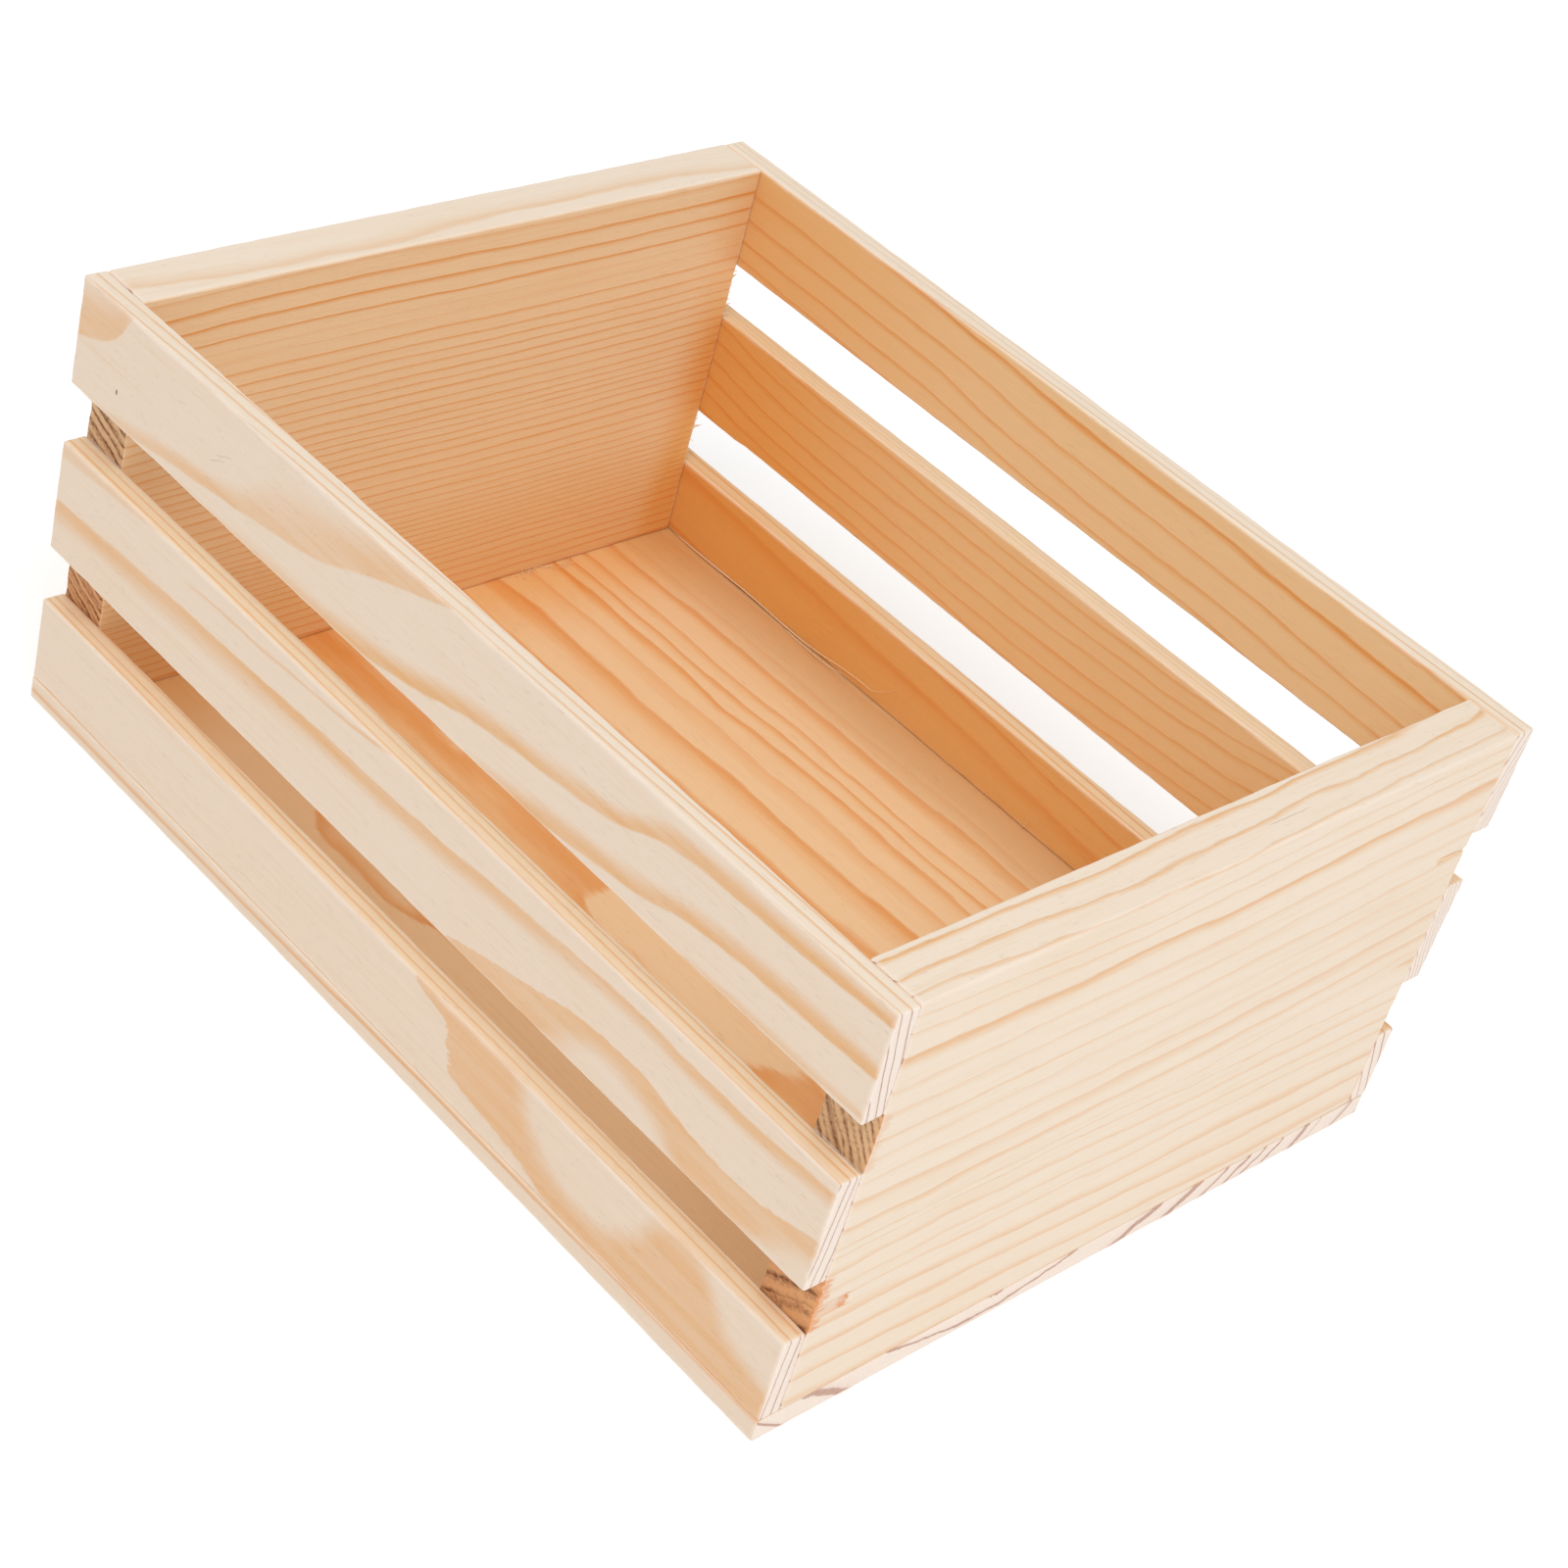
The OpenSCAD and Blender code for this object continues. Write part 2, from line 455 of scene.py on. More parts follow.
def torn_edge(s, cut, finish, late, seed):
    """The bare, torn side edge of an end board, streaked along its rings. Its darker tone is partly the torn
    grain's own colour and partly painted shade of the gap.
    """
    near = cut.high.x > 0
    fray = s.noise((1.1, 0.8, 0.7), 3, seed + 21)
    torn = s.mix(s.z.fade(*HEARTWOOD) * 0.55, finish.torn, finish.resin)
    slant = s.curve(s.z, NEAR_SLANT if near else FAR_SLANT)
    apart = STREAKS_APART + s.z.fade(*HEARTWOOD) * (2.0 if near else 0)
    phase = (s.z + (s.x - cut.high.x) * slant) / apart + s.noise((5, 5, 5), 1, seed + 25) * 0.9
    phase = phase - phase.whole()
    streaks = phase.fade(0.25, 0.6) * (1 - phase.fade(0.7, 0.95))
    bands = (late * 1.4).between(0, 0.5) + fray.fade(-0.1, 0.3) * 0.25 + streaks * (0.42 + fray * 1.5)
    return s.mix(bands.between(0, 1), torn, finish.torn_line)


def pine(cut, finish):
    """Unfinished planed pine, with the growth rings running through the whole board."""
    s = Shader(cut.node + "_pine")
    seed = 3.1 + cut.seed * 5.3
    wander = s.noise(cut.sizes(60, 16), 2, seed) * 3.6 + s.noise(cut.sizes(17, 4), 2, seed + 2) * 1.3
    wander = wander + s.noise(cut.sizes(6, 0.45), 2, seed + 4) * 0.5
    late, line = cut.rings(s, wander)
    end = s.facing(cut.along).fade(0.5, 0.85)
    front = (s.y - CRATE_LOW.y).fade(0.45, 0.1)
    if cut.figure:
        shown = cut.figure(s)
        late = late * (1 - front) + shown * front
        line = line * (1 - front) + shown.fade(0.7, 1.1) * 0.35 * front
    wood, fibres, canals = long_grain(s, cut, finish, late, line, seed)
    # Painted light and shade on the outer faces, the inner faces and the edges in the gaps.
    wood = painted_shading(s, cut, finish, wood, front)

    # Eased arrises are paler, in broken stretches: partly rubbed wear, partly a painted highlight
    rub = s.noise(cut.sizes(9, 2.5), 3, seed + 17)
    wear_and_highlight = (edge_distance(s, cut) + rub * 1.6).fade(1.1, 0.2)
    wood = s.mix(wear_and_highlight * 0.35, wood, finish.end_early)

    ends, pores, cut_line = end_grain(s, finish, late, line, seed)
    if cut.along == Y:
        # In the gaps the end grain is torn and darker: partly its own colour, partly painted shade of the
        # gap.
        ends = s.mix(in_zones(s, BARE, 0.4, 0.2), ends, torn_edge(s, cut, finish, late, seed))
    wood = s.mix(end, wood, ends)
    for share_of_mark, tone in cut.marks(s, finish) if cut.marks else ():
        wood = s.mix(share_of_mark.between(0, 1), wood, tone)

    rough = finish.roughness + 0.1 * fibres - 0.1 * late + 0.14 * end + 0.08 * wear_and_highlight
    planing = s.noise(cut.sizes(2.2, 30), 1, seed + 23)
    height = line * 0.55 + late * 0.35 + fibres * 0.75 + canals * -0.5 + planing * 0.25
    height = height * (1 - end) + (pores * 1.6 + cut_line * 0.6) * end
    return s.surface(wood, rough, height, finish.relief, **{"Specular IOR Level": 0.35})


def stroke(s, edge, soft, side, strength):
    """One band of figure: dark at its edge, a curve of height along the slat, and soft away from it."""
    rag = s.noise((5, 5, 1.1), 3, 2.3) * 0.9 + s.noise((26, 26, 9), 1, 8.3) * 1.2
    away = side * (s.z - s.curve(s.x, edge) + rag)
    soft = s.curve(s.x, soft).at_least(0.8) if not isinstance(soft, float) else soft
    return (1 - away.fade(soft * 0.2, soft * 1.15)) * away.fade(-0.5, 0.4) * strength


def top_figure(s):
    """The front top slat's face: four slanting bands that climb to the right."""
    first = stroke(
        s,
        [(-125, 79), (-100, 84.5), (-65, 90), (-42, 94.5), (-22, 102), (-4, 108.5), (20, 118)],
        [(-125, 3.0), (-70, 5.0), (-48, 13.0), (-22, 11.0), (0, 6.0)],
        HIGH,
        0.58,
    )
    corner = stroke(s, [(-125, 96), (-113, 101), (-108, 108), (-104, 116)], 15.0, HIGH, 0.6)
    corner = corner * s.x.fade(-104, -110)
    second = stroke(
        s,
        [(-70, 79.5), (-20, 84.5), (12, 91.5), (50, 97), (70, 103), (105, 105), (125, 106.5)],
        [(-70, 6.0), (-20, 5.0), (12, 5.0), (50, 4.4), (70, 5.2), (125, 4.0)],
        HIGH,
        0.78,
    )
    third = stroke(
        s, [(10, 79.5), (35, 84), (62, 88), (80, 92), (125, 94.5)], [(10, 5.0), (125, 4.6)], HIGH, 0.78
    )
    fourth = stroke(s, [(70, 82.5), (90, 83.9), (125, 84.9)], 2.0, HIGH, 0.55)
    return first.at_least(corner).at_least(second).at_least(third).at_least(fourth)


def eye_field(s):
    """The tan wood round the two pale eyes that the front middle and low slats share."""
    rag = s.noise((2.6, 2.6, 1.2), 3, 5.1) * 5.0 + s.noise((14, 14, 8), 1, 6.1) * 2.0
    crest = [(5, 36), (20, 43), (45, 49.5), (60, 53), (73, 53.5), (85, 51.5), (100, 50), (125, 54)]
    top = s.curve(s.x, crest)
    bottom = s.curve(s.x, [(24, 15), (28, 12.5), (50, 9), (62, 6.2), (90, 4.5), (125, 5.0)])
    left = s.curve(s.z, [(12.5, 27), (18, 25), (23, 24), (27, 12), (41, 16), (55, 40)])
    inside = (top - s.z + rag * 0.25).fade(-0.35, 0.3)
    inside = inside * (s.z - bottom + rag * 0.4).fade(-0.6, 0.6) * (s.x - left + rag).fade(-0.4, 0.6)
    eye = (((s.x - 68) / 22) ** 2 + ((s.z - 30.5) / 19.5) ** 2).root()
    second = (((s.x - 128) / 26) ** 2 + ((s.z - 31) / 18) ** 2).root()
    soft = s.noise((16, 16, 10), 2, 7.7) * 0.3
    pale = (eye + soft).fade(0.82, 1.14) * (second + soft).fade(0.8, 1.14)
    return inside * pale * 0.66


def middle_figure(s):
    """The front middle slat's face: one long band, thin lines above it, and the tops of the eyes."""
    main = stroke(
        s,
        [(-125, 54.2), (-100, 56), (-30, 59.2), (0, 60.4), (50, 64.2), (70, 65.2), (90, 64.6), (125, 66.4)],
        [(-125, 6.5), (-60, 6.0), (0, 5.5), (70, 4.0), (125, 4.4)],
        LOW,
        0.68,
    )
    upper = stroke(s, [(-125, 65), (-88, 69), (-60, 73)], 6.0, HIGH, 0.42)
    thin = stroke(s, [(-80, 63.4), (-25, 66.6), (0, 70)], 1.0, HIGH, 0.5) * s.x.fade(-82, -70)
    return main.at_least(upper).at_least(thin).at_least(eye_field(s))


def front_rings(rise, shape):
    """Rings of a front slat, nearly flat to its face. rise is how steeply they cross it."""
    lines = [-13.6, -11.2, -8.8, -6.6, -4.1, -1.9, 0.4, 2.6, 4.4, 6.9, 9.1, 11.4, 14]

    def rings(s, wander):
        bend = s.curve(s.x, shape)
        place = (s.y - CRATE_LOW.y) + (s.z - 60 - bend) * rise + wander * 0.25
        return growth(s, place, lines, strength=0.6, breadth=0.45)

    return rings


def slat_rings(lines, shape, lean, strength=0.6, breadth=0.35):
    """Rings of a back slat: lines on its inner face, which bend by shape along it."""

    def rings(s, wander):
        place = s.z - s.curve(s.x, shape) - lean * (s.y - BACK_INSIDE) + wander
        return growth(s, place, lines, strength=strength, breadth=breadth)

    return rings


def near_end_rings(s, wander):
    """The right end board: lines that spread apart from a fork below its middle."""
    upper = s.z.fade(43, 50)
    rise = s.curve(s.y, [(-90, 1.2), (-60, 0.7), (-20, 0), (0, 0), (30, 1), (80, 3.3), (90, 3.8)])
    fall = s.curve(s.y, [(-90, 2.6), (-60, 2), (0, 0), (40, -2), (80, -3.2), (90, -3.5)])
    place = s.z - rise * upper - fall * (1 - upper) + wander * 1.3
    place = place + (s.x - CRATE_HIGH.x) * s.curve(s.z, NEAR_SLANT)
    lines = [10.5, 17.5, 24, 31, 35, 40, 45]
    lines += [48, 53.8, 60.3, 65.3, 71.7, 76, 82.6, 88.7, 96.2, 101.3, 105.3, 110.5, 115, 119.5]
    strength = [(5, 0.36), (17.5, 0.4), (24, 0.4), (31, 0.27), (40, 0.32), (45, 0.4), (53.8, 0.36)]
    strength += [(60.3, 0.34), (71.7, 0.16), (76, 0.3), (82.6, 0.2), (89.5, 0.26), (94, 0.7)]
    strength += [(97, 0.7), (101, 0.3), (110, 0.5), (119, 0.8)]
    breadth = [(5, 0.45), (24, 0.5), (31, 0.4), (48, 0.4), (60, 0.7), (66, 0.35), (89, 0.4), (96, 0.55)]
    breadth += [(102, 0.25), (119, 0.4)]
    return growth(s, place, lines, 46.5, strength, breadth)


def far_end_rings(s, wander):
    """The left end board: close, level lines."""
    lines = [7.2, 9.8, 12.2, 14.6, 17, 19.2, 21, 22.8, 24.6, 26.2, 27.8, 29.4, 31.1, 32.8, 34.6, 36.4]
    lines += [38.5, 40.6, 43, 45.6, 48.8, 51.5, 54, 56, 58.2, 60, 62.2, 64.4, 67, 70, 72.4, 75, 77.6]
    lines += [80.2, 83.2, 86.7, 90.3, 93, 96, 100.2, 104.7, 109, 113.5]
    strength = [(5, 0.6), (40, 0.55), (60, 0.62), (75, 0.6), (86.7, 0.6), (90, 0.15), (93, 0.15)]
    strength += [(96, 0.85), (105.5, 0.85), (107, 0.35), (113, 0.3)]
    place = s.z + wander * 0.5 + s.curve(s.y, [(-90, 0.5), (-30, -0.3), (30, 0.4), (90, -0.4)])
    place = place + (s.x - LEFT_INSIDE) * s.curve(s.z, FAR_SLANT)
    return growth(s, place, lines, 2.0, strength, 0.42)


PITH_Y, PITH_Z = -35, 105


def bottom_rings(s, wander):
    """The bottom board: arcs about a pith that lies well above it."""
    across = s.y - PITH_Y - s.x * 0.02
    round_pith = (across**2 + (s.z - PITH_Z) ** 2).root()
    lopsided = (-across).at_least(0) * 0.072
    turns = [(-125, 0.7), (-108, -0.2), (-60, -0.5), (-12, -0.2), (2, 1.3), (45, 1.2)]
    sway = s.curve(s.x, [*turns, (66, -0.4), (80, 0.9), (125, 0.4)])
    near = s.y.fade(10, -15) * s.y.fade(-62, -48)
    front_edge = s.y.fade(-78, -86)
    lens = s.x.fade(-66, -50) * s.x.fade(-12, -28) * s.y.fade(-58, -62) * (1 - front_edge)
    place = round_pith + lopsided + sway * (0.12 + 0.88 * near) - lens * 1.9
    place = place + wander * (1.05 - 0.93 * front_edge)
    lines = [math.hypot(y - PITH_Y, PITH_Z - FLOOR_INSIDE) for y in (22, 35, 44, 52, 57, 62.5, 72.3, 76.5)]
    lines = [94, 100.6, 104.4, *lines, 158, 163]
    strength = [(94, 0.8), (104, 0.75), (114.5, 0.72), (121.5, 0.74), (126.9, 0.38), (132, 0.74)]
    strength += [(139, 0.6), (146, 0.6), (149, 0.2), (163, 0.3)]
    breadth = [(94, 0.7), (107, 0.5), (115, 0.62), (122, 0.72), (132, 0.6), (140, 0.6)]
    breadth += [(147, 0.7), (163, 0.45)]
    breadth = s.curve(place, breadth).between(0.12, 0.95) * (1 - 0.6 * front_edge)
    return growth(s, place, lines, strength=strength, breadth=breadth)


def near_end_marks(s, finish):
    """Resin-rich torn edges beside the front gaps, a chip with painted shade along its groove's edges, and a
    hairline crack in the rim.
    """
    outer = s.x.fade(CRATE_HIGH.x - 1.0, CRATE_HIGH.x - 0.4)
    rag = s.noise((1.5, 3.0, 0.6), 3, 4.7) * 9.0
    beside = in_zones(s, GAPS[LOW], 0.6, 0.4)
    torn = (s.y + rag).fade(FRONT_INSIDE + 3.0, FRONT_INSIDE + 0.8) * beside * outer
    chip = (s.y + rag * 0.3).fade(-78.2, -78.8) * (s.y.fade(-81, -79.6) * 0.7 + 0.25)
    # Painted shade: dark lines along the chip groove's upper and lower edges.
    groove_edge_shade = 1 - abs(abs(s.z - CHIP_Z) - 1.7).fade(0.12, 0.4)
    chip = chip.at_least(groove_edge_shade * 0.55 * s.y.fade(-76, -79))
    chip = chip * s.z.fade(CHIP_Z - 2, CHIP_Z - 1.6) * s.z.fade(CHIP_Z + 2, CHIP_Z + 1.6) * outer
    crack = abs(s.x - 120.1 + s.noise((4, 4, 4), 2, 9.9)).fade(0.2, 0.04)
    crack = crack * s.y.fade(11, 14) * s.y.fade(26, 22) * s.z.fade(109, 109.6)
    torn = torn * (s.z.fade(72, 42) * 0.45 + 0.25)
    return (torn, finish.resin), (chip * 0.9, finish.resin), (crack * 0.3, finish.fleck)


def bottom_back_shade(s, finish):
    """Painted shade on the bottom board along its back edge, beside the back slats."""
    drift = s.noise((30, 5, 5), 2, 6.3) * 8
    # Painted shade along the back edge, beside the back slats.
    back_shade = (s.y + drift).fade(62, 84) * s.z.fade(FLOOR_INSIDE - 0.4, FLOOR_INSIDE - 0.1)
    return ((back_shade * 0.42, finish.back_strip_shade),)


def top_slat_marks(s, finish):
    """A dark fleck and two scratches near the left end of the front top slat's face."""
    front = s.y.fade(FRONT_INSIDE - 4, FRONT_INSIDE - 5)
    fleck = (((s.x + 109) / 0.34) ** 2 + ((s.z - 91) / 0.66) ** 2).root().fade(1.25, 0.75) * front
    scratches = 0
    for x, z in ((-74, 96.2), (-72, 98.4)):
        across = abs(s.z - z - (s.x - x) * 0.45 + s.noise((2, 2, 2), 2, x) * 0.8).fade(0.22, 0.06)
        scratches = across * abs(s.x - x).fade(3.0, 1.2) * front + scratches
    return (fleck * 0.75, finish.fleck), (scratches * 0.22, finish.fleck)


def by_left_end(base, reach):
    """How much painted shade a back slat gets in the corner: more towards the left end."""

    def painted_corner_shade(s):
        return s.x.fade(LEFT_INSIDE + 100, LEFT_INSIDE) * reach + base

    return painted_corner_shade


def far_end_corner_shade(s):
    """Painted shade on the left end board: in a narrow strip beside the back slats, and low down."""
    strip = s.y.fade(BACK_INSIDE - 16, BACK_INSIDE + 1) * s.z.fade(105, 60).at_least(0.4)
    return strip + s.z.fade(40, 5) * 0.3


def bottom_corner_shade(s):
    """Painted shade on the bottom board: along the left end and the back."""
    return s.x.fade(LEFT_INSIDE + 30, LEFT_INSIDE) * 0.5 + s.y.fade(66, BACK_INSIDE) * 0.3


def cuts():
    """Every board's cut, by the name of its node."""
    top_bend = [(-125, -12), (-65, 2), (-4, 14), (50, 22), (125, 30)]
    middle_bend = [(-125, -4), (0, 2), (60, 6), (125, 7)]
    low_bend = [(-125, -10), (-60, 0), (0, 8), (60, 3), (125, 5)]
    back_top = [(-125, 0.6), (-100, 0), (-50, -1.8), (0, -4.8), (40, -5.4)]
    back_top += [(70, -6.8), (100, -8.2), (125, -9)]
    back_middle = [(-125, 7), (-110, 5), (-80, 1.5), (-40, 0.5), (0, 0)]
    back_middle += [(40, 1), (60, 2.5), (80, 5), (125, 9)]
    back_low = [(-125, 4.5), (-60, 0), (10, -5), (40, -7), (125, -12)]
    lines = [74, 80.5, 86.5, 91.2, 97.2, 103.5, 111.8, 118, 124]
    strength = [(80, 0.4), (91, 0.5), (104, 0.5), (112, 0.85), (118, 0.5)]
    back_top_rings = slat_rings(lines, back_top, 3.5, strength)
    lines = [26, 33, 38.5, 43.5, 48, 52.6, 58, 62.5, 67, 72, 78, 84]
    back_mid_rings = slat_rings(lines, back_middle, -4.0, 0.42, 0.4)
    lines, strength = [-14, -4, 5, 22, 29, 38], [(-4, 0.6), (22, 0.35), (29, 0.5)]
    back_low_rings = slat_rings(lines, back_low, -3.4, strength, 0.4)
    made = [
        Cut(
            "left_end_board", Y, far_end_rings, inside=(X, HIGH), painted_corner_shade=far_end_corner_shade,
            painted_inside_share=0.75, seed=1,
        ),
        Cut("right_end_board", Y, near_end_rings, inside=(X, LOW), marks=near_end_marks, seed=2),
        Cut(
            "bottom_board", X, bottom_rings, inside=(Z, HIGH), painted_corner_shade=bottom_corner_shade, marks=bottom_back_shade,
            painted_inside_share=0.65, seed=3,
        ),
        Cut(
            "front_top_slat", X, front_rings(1 / 5.7, top_bend), top_figure, (Y, HIGH),
            marks=top_slat_marks, seed=4,
        ),
        Cut("front_middle_slat", X, front_rings(-0.1, middle_bend), middle_figure, (Y, HIGH), seed=5),
        Cut("front_low_slat", X, front_rings(-0.06, low_bend), eye_field, (Y, HIGH), seed=6),
        Cut("back_top_slat", X, back_top_rings, inside=(Y, LOW), painted_corner_shade=by_left_end(0.0, 0.6), seed=7),
        Cut("back_middle_slat", X, back_mid_rings, inside=(Y, LOW), painted_corner_shade=by_left_end(0.12, 0.85), seed=8),
        Cut("back_low_slat", X, back_low_rings, inside=(Y, LOW), painted_corner_shade=by_left_end(0.5, 0.5), seed=9),
    ]
    return {cut.node: cut for cut in made}


# --- board meshes


def stray(point, size, seed):
    """Smooth noise from -1 to 1 at a place, with features of this size."""
    return noise.noise(Vector(point) / size + Vector((seed, seed * 0.7, -seed)))


def lattice(low, high, step, arris, extra=()):
    """Mesh lines across one side of a board, closer together at the arrises."""
    rim = [arris * share for share in (0, 0.18, 0.42, 0.7, 1, 1.7)]
    inner = high - low - 2 * rim[-1]
    count = max(1, math.ceil(inner / step))
    places = [low + r for r in rim] + [high - r for r in rim]
    places += [low + rim[-1] + inner * i / count for i in range(1, count)]
    for start, end, close in extra:
        places += [start + i * close for i in range(int((end - start) / close) + 1)]
    kept = []
    for place in sorted(places):
        if not kept or place - kept[-1] > 0.07:
            kept.append(place)
    kept[-1] = high
    return kept


def eased(point, low, high, radius):
    """Pulls a point of a box onto its rounded arrises."""
    inner = Vector(min(max(p, a + radius), b - radius) for p, a, b in zip(point, low, high))
    out = point - inner
    if out.length > radius:
        return inner + out * (radius / out.length)
    return point


def board_mesh(low, high, lines, radius_at, shape_at):
    """A closed board on a lattice of mesh lines, its arrises eased and its faces shaped."""
    made = bmesh.new()
    verts = {}

    def vert(key):
        if key not in verts:
            point = Vector(lines[axis][key[axis]] for axis in range(3))
            point = shape_at(eased(point, low, high, radius_at(point)))
            verts[key] = made.verts.new(point * MM)
        return verts[key]

    for axis in range(3):
        u, v = (axis + 1) % 3, (axis + 2) % 3
        for end in (0, len(lines[axis]) - 1):
            for i in range(len(lines[u]) - 1):
                for j in range(len(lines[v]) - 1):
                    ring = [(i, j), (i + 1, j), (i + 1, j + 1), (i, j + 1)]
                    if end == 0:
                        ring.reverse()
                    corners = []
                    for a, b in ring:
                        key = [0, 0, 0]
                        key[axis], key[u], key[v] = end, a, b
                        corners.append(vert(tuple(key)))
                    made.faces.new(corners).smooth = True
    return made


def new_object(name, made):
    """Puts a finished bmesh in the scene."""
    mesh = bpy.data.meshes.new(name)
    made.to_mesh(mesh)
    made.free()
    piece = bpy.data.objects.new(name, mesh)
    bpy.context.scene.collection.objects.link(piece)
    return piece


def add_piece(name, made, material, replaced=()):
    """Puts a finished bmesh on the crate's body."""
    piece = new_object(name, made)
    piece.data.materials.append(material)
    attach(piece, BODY)
    if replaced:
        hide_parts(*replaced)
    return piece


def plain(point):
    """A board with no damage."""
    return point


def add_board(cut, shape, finish, damage=plain, extra=((), (), ())):
    """Builds one board in place of its CAD node."""
    arris, wander = shape.arris / MM, shape.arris_wander / MM
    step, ripple = shape.step / MM, shape.ripple / MM
    low, high = cut.low, cut.high
    lines = []
    for axis in range(3):
        close = step if axis == cut.along else min(step, (high[axis] - low[axis]) / 7)
        lines.append(lattice(low[axis], high[axis], close, arris, extra[axis]))

    def radius_at(point):
        slow = stray(point, 23, cut.seed)
        quick = stray(point, 4.5, cut.seed + 10)
        return max(0.12, arris + wander * (0.6 * slow + 0.7 * quick))

    def shape_at(point):
        lift = Vector(stray(point, 37, cut.seed + 20 + i) * ripple for i in range(3))
        # Ripples only draw the surface in, so boards that touch don't cut into each other
        for axis in range(3):
            middle = (low[axis] + high[axis]) / 2
            point[axis] += -abs(lift[axis]) if point[axis] > middle else abs(lift[axis])
        return damage(point)

    made = board_mesh(low, high, lines, radius_at, shape_at)
    return add_piece(cut.node + "_wood", made, pine(cut, finish), (cut.node,))


# --- damage and holes


def tear_ends(point, cut, depth):
    """Roughens an end board's sawn side edges where the gaps leave them bare."""
    for side, zones in GAPS.items():
        plane = cut.low.y if side == LOW else cut.high.y
        near = 1 - abs(point.y - plane) / 3.0
        for low, high in zones:
            if near > 0 and low < point.z < high:
                rough = abs(stray(point, 1.3, 51)) * 0.7 + abs(stray(point, 3.7, 57)) * 0.8
                fade = min(1, (point.z - low) / 1.2, (high - point.z) / 1.2)
                point.y -= side * depth * rough * near * max(0, fade)
    return point


def near_end_damage(cut, depth):
    """The right end board's chips beside its front edge, and the splinter's bed at the back."""

    def damage(point):
        point = tear_ends(point, cut, depth)
        if point.x > cut.high.x - 1.2:
            y = point.y - cut.low.y
            groove = 0
            if y < 9 and abs(point.z - CHIP_Z) < 1.9:
                groove = 0.75 * min(1, (1.9 - abs(point.z - CHIP_Z)) / 0.7) * (0.35 + 0.65 * y / 8.5)
                groove *= min(1, max(0, (9 - y) / 0.5))
            if y < 4.5 and abs(point.z - NICK_Z) < 1:
                groove = 0.35 * (1 - abs(point.z - NICK_Z)) * min(1, (4.5 - y) / 1.5)
            bed = cut.high.y - point.y
            if bed < 10.5 and abs(point.z - BED_Z) < 1.1:
                groove = 0.3 * min(1, (1.1 - abs(point.z - BED_Z)) / 0.4) * min(1, (10.5 - bed) / 2)
            point.x -= groove
        return point

    return damage


def sliver_damage(cut):
    """A long sliver has come off the back middle slat's lower edge."""

    def damage(point):
        reach = min(1, max(0, (point.x + 97.5) / 2.5)) * min(1, max(0, (12 - point.x) / 95))
        lowest = cut.low.z + 0.95 * reach * (0.85 + 0.15 * stray(point, 9, 3))
        if point.z < lowest:
            point.z = lowest + (point.z - cut.low.z) * 0.05
        return point

    return damage


def torn_top_damage(cut):
    """Torn grain along the front top slat's upper edge, near its left end."""

    def damage(point):
        if point.z > cut.high.z - 0.8:
            reach = min(1, max(0, (point.x + 112) / 10)) * min(1, max(0, (-55 - point.x) / 15))
            torn = max(0, stray(Vector((point.x, point.y * 3, 0)), 3.1, 61) - 0.05)
            point.z -= 0.5 * reach * torn
        return point

    return damage


def pin_lines(node, count):
    """Centre lines of the pins in one CAD node, as (start, end, diameter)."""
    low, high = (in_mm(corner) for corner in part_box(node))
    size = high - low
    pointing = Z if node.startswith("bottom") else Y
    row = max((axis for axis in range(3) if axis != pointing), key=lambda axis: size[axis])
    bore = min(size)
    lines = []
    for i in range(count):
        start, end = (low + high) / 2, (low + high) / 2
        start[pointing], end[pointing] = low[pointing], high[pointing]
        place = low[row] + bore / 2 + (size[row] - bore) * i / (count - 1)
        start[row] = end[row] = place
        lines.append((start, end, bore))
    return lines


PIN_ROWS = {"bottom_board_left_pins": 3, "bottom_board_right_pins": 3}
PIN_ROWS.update({"bottom_board_front_pins": 4, "bottom_board_back_pins": 4})
PIN_ROWS.update(
    {
        f"{side}_{row}_slat_{end}_pins": 2
        for side in ("front", "back")
        for row in ("top", "middle", "low")
        for end in ("left", "right")
    }
)


def drill(piece, cut):
    """Drills a board for every pin that passes through it."""
    made = bmesh.new()
    for node, count in PIN_ROWS.items():
        for start, end, bore in pin_lines(node, count):
            if node.startswith("bottom"):
                start.z = cut.low.z - 1 if cut.node == "bottom_board" else start.z
            if any(end[i] < cut.low[i] or start[i] > cut.high[i] for i in range(3)):
                continue
            axis = end - start
            turn = axis.to_track_quat("Z", "Y").to_matrix().to_4x4()
            where = Matrix.Translation((start + end) / 2 * MM) @ turn
            sizes = {"radius1": bore / 2 * MM, "radius2": bore / 2 * MM, "depth": axis.length * MM}
            bmesh.ops.create_cone(made, cap_ends=True, segments=24, matrix=where, **sizes)
    cutter = new_object("drill", made)
    holes = piece.modifiers.new("Pin holes", "BOOLEAN")
    holes.operation = "DIFFERENCE"
    holes.solver = "MANIFOLD"
    holes.object = cutter
    bpy.context.view_layer.update()
    drilled = bpy.data.meshes.new_from_object(piece.evaluated_get(bpy.context.evaluated_depsgraph_get()))
    piece.modifiers.clear()
    piece.data = drilled
    bpy.data.objects.remove(cutter)


# --- loose fibres


def smooth_line(points, steps):
    """A smooth line through points."""
    points = [Vector(p) for p in points]
    padded = [points[0] * 2 - points[1], *points, points[-1] * 2 - points[-2]]
    line = []
    for a, b, c, d in zip(padded, padded[1:], padded[2:], padded[3:]):
        for i in range(steps):
            t = i / steps
            place = b * 2 + (c - a) * t
            place = place + (a * 2 - b * 5 + c * 4 - d) * t**2
            place = place + (b * 3 - a - c * 3 + d) * t**3
            line.append(place / 2)
    return [*line, points[-1]]


